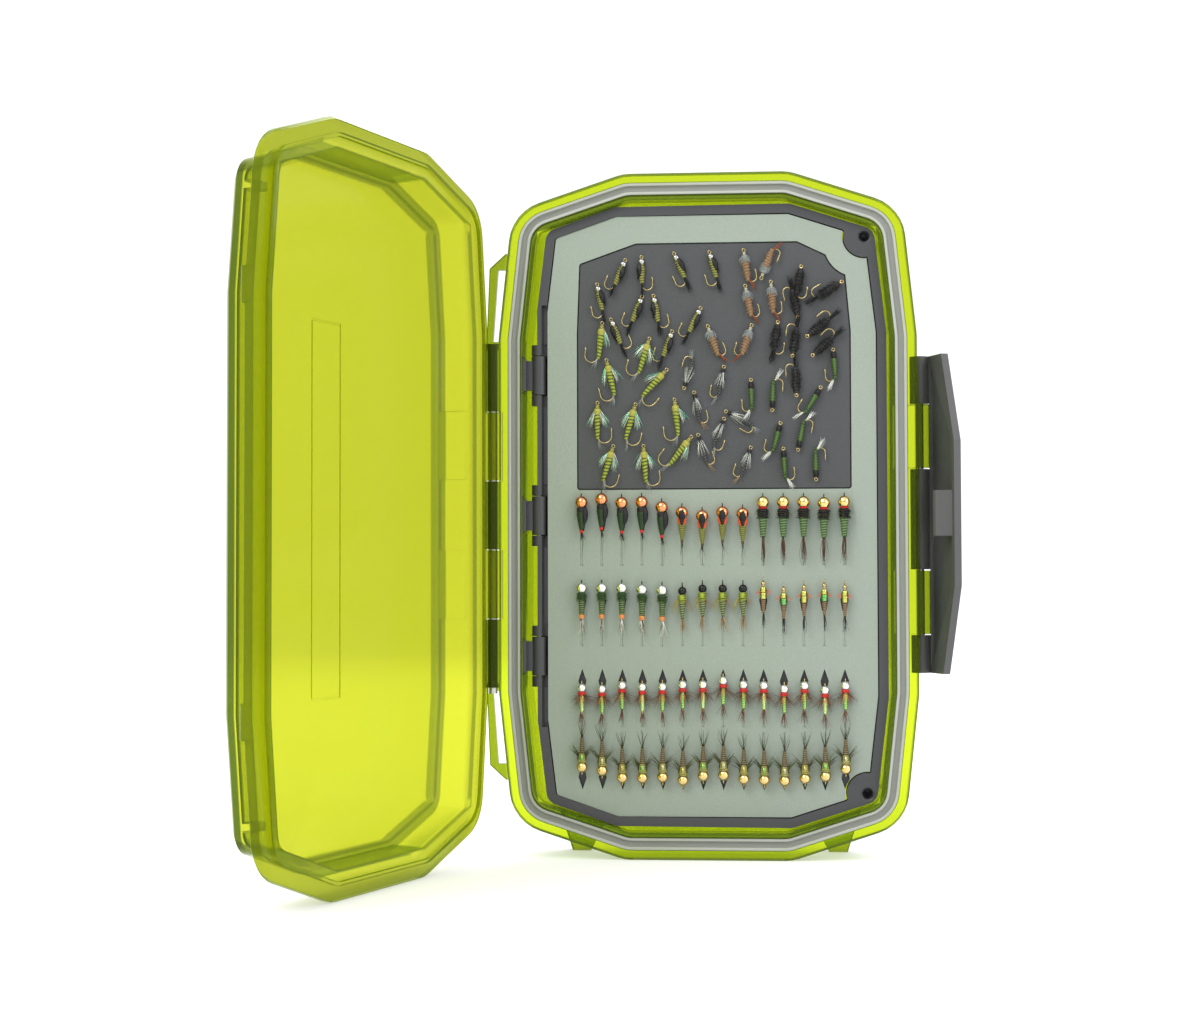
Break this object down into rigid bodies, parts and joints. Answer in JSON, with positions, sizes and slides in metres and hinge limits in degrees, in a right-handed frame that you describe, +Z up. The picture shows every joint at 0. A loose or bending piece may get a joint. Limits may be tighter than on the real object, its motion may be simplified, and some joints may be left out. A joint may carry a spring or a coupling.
{
  "type": "fly box",
  "caption": "Slim hinged case of clear chartreuse plastic with a side latch, a rim seal and a swinging foam leaf that holds fishing flies.",
  "frame": {"origin": "middle of the body flange's flat lower end, on which the open box stands", "axes": "+Z up along the box's length, -Y out of the body's open face, +X towards the latch"},
  "size_m": [0.1724, 0.1356, 0.184],
  "materials": {
    "lime_shell": "clear polished",
    "sage_silicone": "matte",
    "steel": "drawn rod",
    "slate_plastic": "satin",
    "sage_foam": "matte closed-cell foam",
    "magnet_sheet": "fine matte",
    "hook_wire": "bronzed",
    "copper_bead": "polished",
    "silver_bead": "polished",
    "pearl_bead": "polished",
    "gold_bead": "polished",
    "dressing_1": "wound thread and dubbing",
    "dressing_2": "wound thread and dubbing",
    "dressing_3": "wound tinsel",
    "dressing_4": "wound thread and dubbing",
    "pad_silver_bead": "wound thread and dubbing",
    "pad_ribbed_olive": "ribbed thread",
    "pad_tan": "wound thread and dubbing",
    "pad_black": "wound thread and dubbing",
    "pad_green": "wound thread",
    "pad_dark": "wound thread"
  },
  "bodies": {
    "case": {"case_body": "lime_shell", "rim_gasket": "sage_silicone", "hinge_pin": "steel", "latch_pin": "steel", "leaf_clip_top": "slate_plastic", "leaf_clip_middle": "slate_plastic", "leaf_clip_bottom": "slate_plastic"},
    "lid": {"case_lid": "lime_shell"},
    "latch": {"latch": "slate_plastic"},
    "leaf": {"leaf_frame": "slate_plastic", "leaf_front_foam": "sage_foam", "leaf_back_foam": "sage_foam", "leaf_core_plate": "slate_plastic", "magnetic_pad": "magnet_sheet", "leaf_hinge_pins": "steel", "row_1_hooks": "hook_wire", "row_1_beads": "copper_bead", "row_1_bodies": "dressing_1", "row_2_hooks": "hook_wire", "row_2_beads": "silver_bead", "row_2_bodies": "dressing_2", "row_3_hooks": "hook_wire", "row_3_beads": "pearl_bead", "row_3_bodies": "dressing_3", "row_4_hooks": "hook_wire", "row_4_beads": "gold_bead", "row_4_bodies": "dressing_4", "pad_flies_silver_bead": "pad_silver_bead", "pad_flies_ribbed_olive": "pad_ribbed_olive", "pad_flies_tan": "pad_tan", "pad_flies_black": "pad_black", "pad_flies_green_midge": "pad_green", "pad_flies_dark_midge": "pad_dark"}
  },
  "joints": [
    {"name": "lid_hinge", "type": "hinge", "parent": "case", "child": "lid", "pos_m": [-0.0575, -0.003, 0.092], "axis": [0, 0, 1], "range_deg": [-65, 110]},
    {"name": "latch_hinge", "type": "hinge", "parent": "case", "child": "latch", "pos_m": [0.0572, 0.006, 0.092], "axis": [0, 0, 1], "range_deg": [-20, 85]},
    {"name": "leaf_hinge", "type": "hinge", "parent": "case", "child": "leaf", "pos_m": [-0.0453, 0.00065, 0.092], "axis": [0, 0, 1], "range_deg": [-5, 0]}
  ]
}
